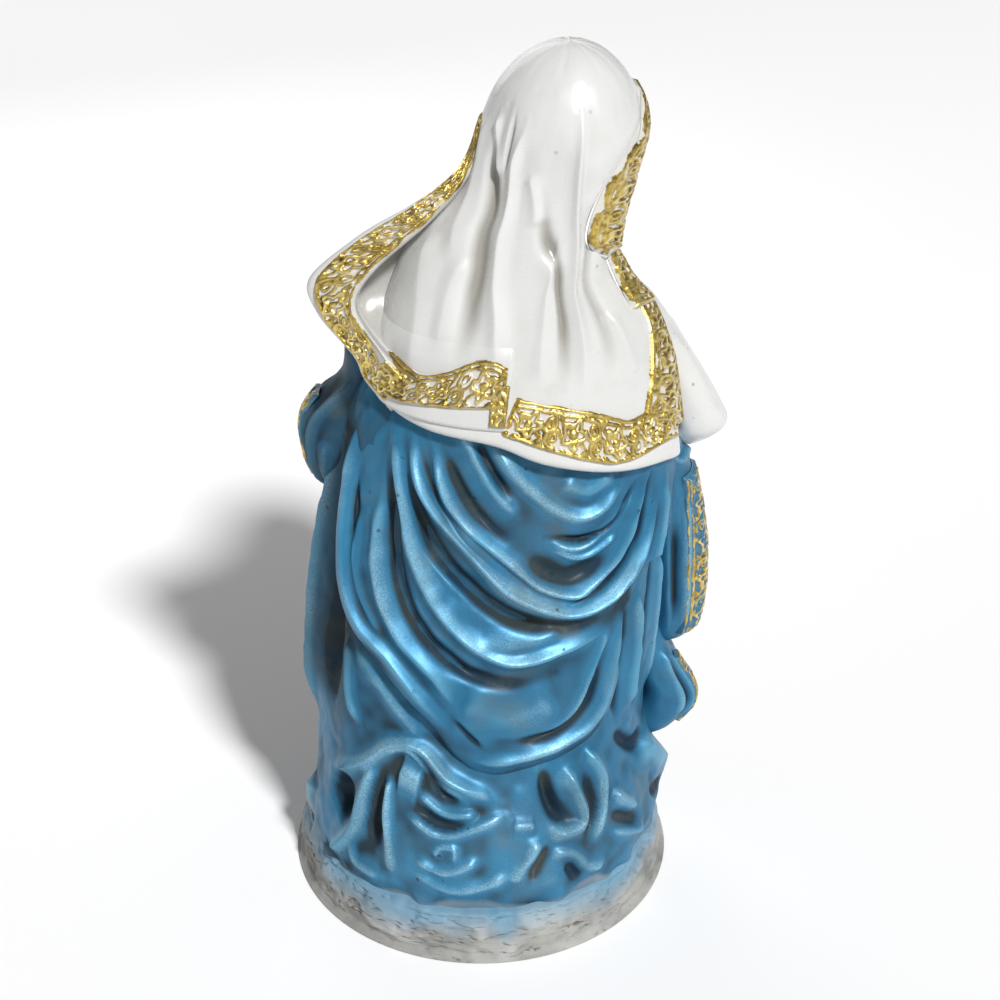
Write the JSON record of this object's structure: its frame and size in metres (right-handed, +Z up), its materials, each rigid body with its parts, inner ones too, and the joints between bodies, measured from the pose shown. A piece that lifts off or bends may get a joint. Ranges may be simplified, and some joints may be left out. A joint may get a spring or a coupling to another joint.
{
  "type": "kneeling madonna statue",
  "caption": "Kneeling praying figure in a white veil and a blue mantle with gold lace borders, on a round rock base; a painted cast statue.",
  "frame": {"origin": "centre of the underside of the base, where the statue stands", "axes": "+Z up to the crown of the veil; the figure faces -Y; +X is the figure's left"},
  "size_m": [0.1391, 0.1346, 0.28],
  "materials": {
    "veil_white": "pearl white gloss paint with grey in the folds",
    "mantle_blue": "metallic blue paint, silver on the ridges, brown wash in the folds",
    "gold_paint": "bright gold paint brushed over raised lace",
    "gown_rose": "satin rose paint",
    "skin": "satin skin-coloured paint",
    "hair_brown": "satin brown paint",
    "rock": "rough grey-white rock with dark veins"
  },
  "bodies": {
    "root": {"base": "rock", "gown": "gown_rose", "train": "mantle_blue", "mantle": "mantle_blue", "mantle_drape_left": "mantle_blue", "mantle_drape_right": "mantle_blue", "mantle_tail_right": "mantle_blue", "veil": "veil_white", "veil_fold_left": "veil_white", "veil_fold_right": "veil_white", "veil_trim_back": "gold_paint", "veil_trim_left": "gold_paint", "veil_trim_right": "gold_paint", "veil_trim_face": "gold_paint", "mantle_trim_left": "gold_paint", "mantle_trim_right": "gold_paint", "mantle_trim_tail": "gold_paint", "head": "skin", "hair": "hair_brown", "sleeve_left": "gown_rose", "sleeve_right": "gown_rose", "hand_left": "skin", "hand_right": "skin"}
  },
  "joints": []
}
